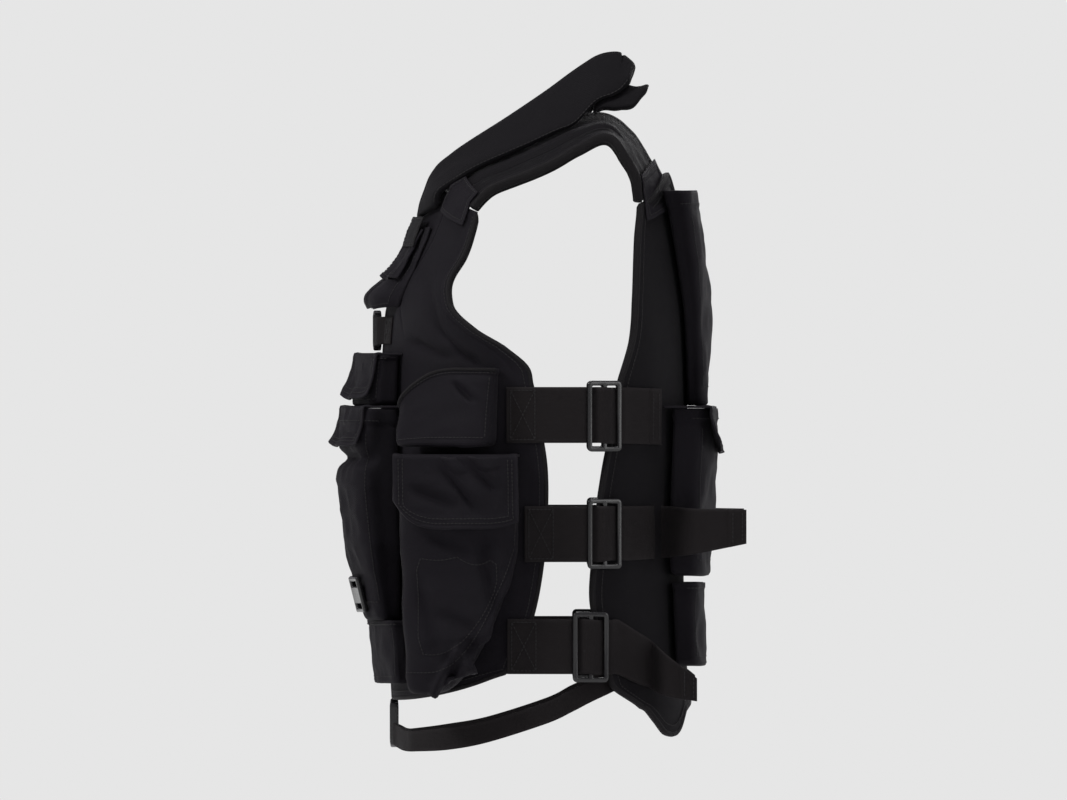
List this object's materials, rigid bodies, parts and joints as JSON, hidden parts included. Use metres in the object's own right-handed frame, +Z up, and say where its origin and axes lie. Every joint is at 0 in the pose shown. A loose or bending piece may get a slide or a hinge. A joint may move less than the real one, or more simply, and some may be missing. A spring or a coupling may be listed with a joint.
{
  "type": "tactical vest",
  "caption": "Black nylon load-carrying vest in its worn form, with padded shoulders, webbing side straps through plastic sliders, flapped pouches and front buckles.",
  "frame": {"origin": "midway between the shoulders, level with the underside of the shoulder straps at their highest point", "axes": "+Z up, the front faces -Y, the wearer's left side is +X"},
  "size_m": [0.4092, 0.3758, 0.6397],
  "materials": {
    "nylon_cloth": "matte woven nylon, near black",
    "padded_cloth": "matte padded nylon, near black",
    "webbing": "ribbed nylon webbing, near black",
    "black_plastic": "smooth moulded plastic, half gloss"
  },
  "bodies": {
    "root": {"back_panel": "padded_cloth", "upper_back_pocket": "nylon_cloth", "back_pouch": "nylon_cloth", "back_pouch_flap": "nylon_cloth", "low_back_pouch": "nylon_cloth", "front_panel_left": "nylon_cloth", "front_panel_right": "nylon_cloth", "shoulder_strap_left": "padded_cloth", "shoulder_strap_right": "padded_cloth", "shoulder_pad_left": "padded_cloth", "shoulder_pad_right": "padded_cloth", "shoulder_pad_tongue_left": "padded_cloth", "shoulder_pad_tongue_right": "padded_cloth", "chest_flap_upper_left": "nylon_cloth", "chest_flap_upper_right": "nylon_cloth", "chest_flap_lower_left": "nylon_cloth", "chest_flap_lower_right": "nylon_cloth", "chest_pouch_left": "nylon_cloth", "chest_pouch_right": "nylon_cloth", "chest_pouch_flap_left": "nylon_cloth", "chest_pouch_flap_right": "nylon_cloth", "tall_pouch_left": "nylon_cloth", "tall_pouch_right": "nylon_cloth", "tall_pouch_flap_left": "nylon_cloth", "tall_pouch_flap_right": "nylon_cloth", "low_front_pouch_left": "nylon_cloth", "low_front_pouch_right": "nylon_cloth", "side_pocket_left": "nylon_cloth", "side_pocket_right": "nylon_cloth", "side_pouch_left": "nylon_cloth", "side_pouch_right": "nylon_cloth", "side_pouch_flap_left": "nylon_cloth", "side_pouch_flap_right": "nylon_cloth", "side_strap_1_left": "webbing", "side_strap_1_right": "webbing", "side_strap_2_left": "webbing", "side_strap_2_right": "webbing", "side_strap_3_left": "webbing", "side_strap_3_right": "webbing", "waist_strap_left": "webbing", "waist_strap_right": "webbing", "chest_tab_left": "webbing", "chest_tab_right": "webbing", "slider_1_left": "black_plastic", "slider_1_right": "black_plastic", "slider_2_left": "black_plastic", "slider_2_right": "black_plastic", "slider_3_left": "black_plastic", "slider_3_right": "black_plastic", "pouch_buckle_left": "black_plastic", "pouch_buckle_right": "black_plastic", "chest_buckle_socket": "black_plastic", "chest_buckle_plug": "black_plastic", "waist_buckle_socket": "black_plastic", "waist_buckle_plug": "black_plastic"}
  },
  "joints": []
}
